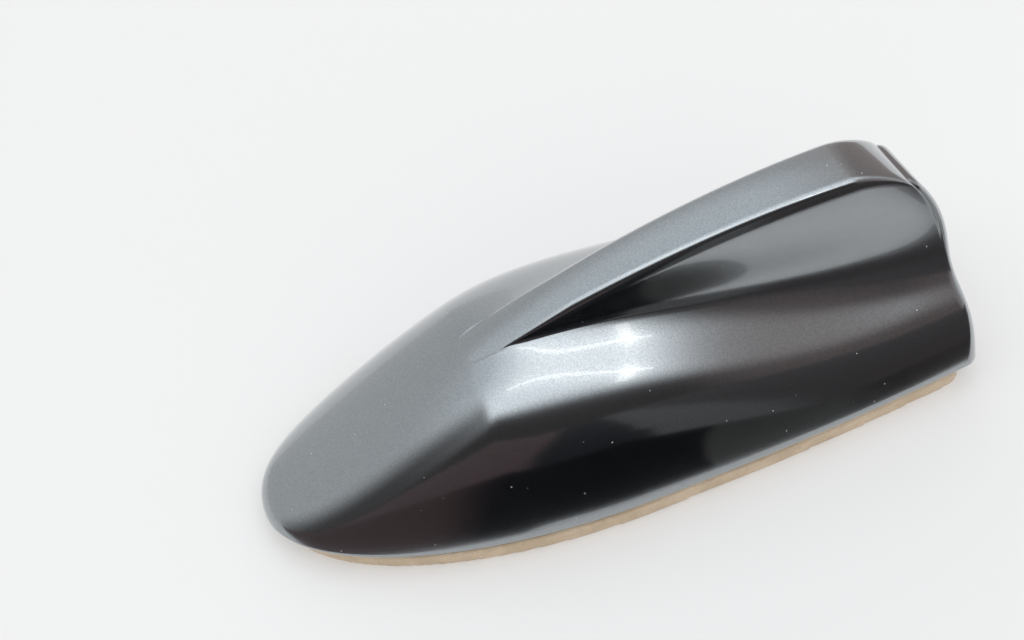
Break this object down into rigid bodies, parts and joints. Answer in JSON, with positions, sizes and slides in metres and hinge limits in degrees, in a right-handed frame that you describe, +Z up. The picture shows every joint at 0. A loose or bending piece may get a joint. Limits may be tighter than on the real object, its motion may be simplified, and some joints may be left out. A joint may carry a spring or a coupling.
{
  "type": "shark-fin roof antenna",
  "caption": "Painted shark-fin roof antenna with side scoops: hollow cover on a sealed base, satellite patch and upright aerial board inside, one threaded roof bolt.",
  "frame": {"origin": "on the roof bolt's axis, at the underside of the seal pad, where the antenna meets the roof", "axes": "+X from the nose to the tail, +Z up away from the roof, Y across"},
  "size_m": [0.1676, 0.066, 0.0567],
  "materials": {
    "cover_paint": "dark blue-grey metallic paint under a glossy clear coat",
    "pad_foam": "matt beige cellular rubber",
    "base_moulding": "black glass-filled plastic, lightly textured",
    "seal_rubber": "matt black rubber",
    "insert_brass": "turned, slightly dull",
    "strap_bronze": "stamped spring bronze, tinned at the foot",
    "vent_film": "white porous film",
    "screw_steel": "zinc-plated",
    "board_green": "green solder mask",
    "tape_white": "double-sided tape",
    "patch_ceramic": "fired ceramic, matt",
    "silver_ink": "fired silver, satin",
    "can_steel": "tinned sheet",
    "chip_black": "moulded package",
    "parts_brown": "ceramic chip parts",
    "socket_gold": "gold-plated",
    "track_copper": "copper foil",
    "foam_grey": "open-cell foam"
  },
  "bodies": {
    "root": {"cover": "cover_paint", "seal_pad": "pad_foam", "base_plate": "base_moulding", "cover_gasket": "seal_rubber", "mount_insert": "insert_brass", "ground_strap": "strap_bronze", "cable_grommet": "seal_rubber", "vent_membrane": "vent_film", "cover_screws": "screw_steel", "main_board": "board_green", "board_screws": "screw_steel", "patch_tape": "tape_white", "gps_patch": "patch_ceramic", "patch_electrode": "silver_ink", "feed_pin": "can_steel", "shield_can": "can_steel", "amplifier_chip": "chip_black", "board_parts": "parts_brown", "lead_socket": "socket_gold", "fin_board": "board_green", "fin_antenna": "track_copper", "fin_clips": "strap_bronze", "fin_foam": "foam_grey"}
  },
  "joints": []
}
